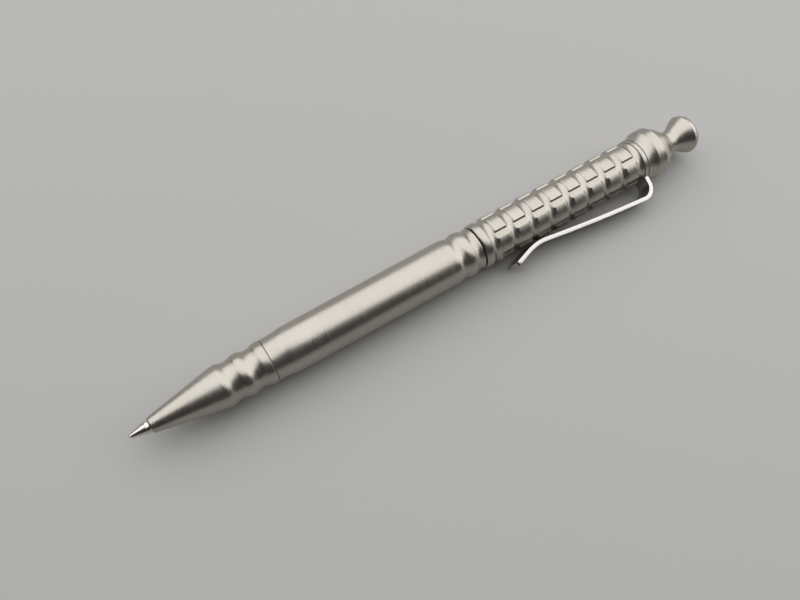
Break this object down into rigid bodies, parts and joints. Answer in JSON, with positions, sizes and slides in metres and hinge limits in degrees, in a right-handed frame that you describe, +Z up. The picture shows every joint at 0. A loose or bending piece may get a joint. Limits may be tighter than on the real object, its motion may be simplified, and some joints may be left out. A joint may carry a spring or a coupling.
{
  "type": "ballpoint pen",
  "caption": "Turned titanium ballpoint pen with a push button, a bent strip clip, a ribbed and fluted grip and a waved nose.",
  "frame": {"origin": "middle of the underside of the pen's box as it lies on its collar and clip", "axes": "+X from the writing tip to the button along the pen, +Z up, the clip on the -Y side near the surface"},
  "size_m": [0.1378, 0.015, 0.0117],
  "materials": {
    "satin_titanium": "satin",
    "bright_titanium": "brushed",
    "plain_steel": "satin",
    "bright_steel": "polished",
    "brass": "satin",
    "acetal": "matte",
    "seal_rubber": "matte",
    "ink": "glossy"
  },
  "bodies": {
    "barrel": {"lower_barrel": "satin_titanium", "upper_barrel": "satin_titanium", "barrel_o_ring": "seal_rubber", "clip": "bright_titanium", "collar": "satin_titanium", "button_bushing": "acetal", "cam_sleeve": "brass"},
    "nose": {"nose_cone": "satin_titanium", "nose_o_ring": "seal_rubber", "return_spring": "bright_steel"},
    "plunger": {"click_button": "satin_titanium", "button_stem": "plain_steel", "thrust_cam": "acetal"},
    "refill": {"rotor_cam": "brass", "refill_body": "plain_steel", "refill_nose_tube": "bright_steel", "refill_tip": "bright_steel", "refill_ball": "bright_steel", "refill_ink": "ink", "refill_follower": "acetal", "refill_crown": "acetal"}
  },
  "joints": [
    {"name": "button_press", "type": "slide", "parent": "barrel", "child": "plunger", "axis": [-1, 0, 0], "range_m": [-0.005, 0.0012]},
    {"name": "refill_travel", "type": "slide", "parent": "barrel", "child": "refill", "axis": [-1, 0, 0], "range_m": [-0.005, 0.0012], "deforming": ["return_spring"]},
    {"name": "nose_removal", "type": "slide", "parent": "barrel", "child": "nose", "axis": [-1, 0, 0], "range_m": [0, 0.04]}
  ],
  "couplings": [
    {"joint": "refill_travel", "follows": "button_press", "ratio": 1}
  ]
}
